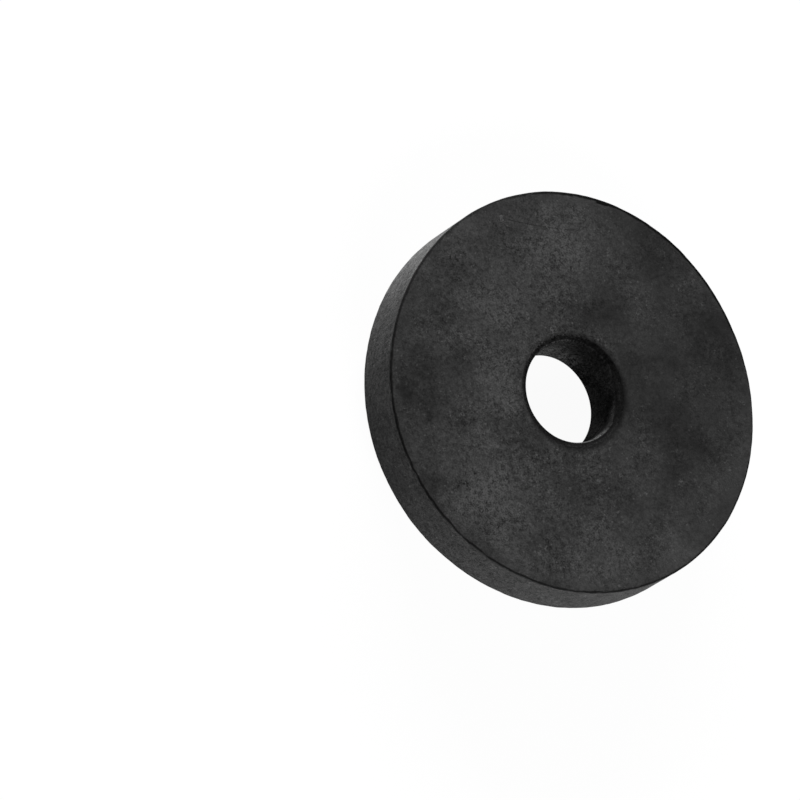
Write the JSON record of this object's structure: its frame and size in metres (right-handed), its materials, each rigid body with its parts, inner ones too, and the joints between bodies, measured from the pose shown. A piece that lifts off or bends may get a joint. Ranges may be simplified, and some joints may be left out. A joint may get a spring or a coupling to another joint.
{
  "type": "flat rubber washer",
  "caption": "Thick flat ring of black rubber with a plain centre bore, rolled bore lips and a slightly sloped cut rim, used as a cushioning spacer or seal under a bolt head.",
  "frame": {"origin": "on the bore's axis, at the lower face that the washer lies on", "axes": "+Z along the bore's axis, from the narrower lower face to the wide upper face; +X and +Y across the faces"},
  "size_m": [0.0508, 0.0508, 0.0079],
  "materials": {
    "rubber": "matte black rubber with a faint grey bloom, fine grain and cut edges"
  },
  "bodies": {
    "root": {"washer": "rubber"}
  },
  "joints": []
}
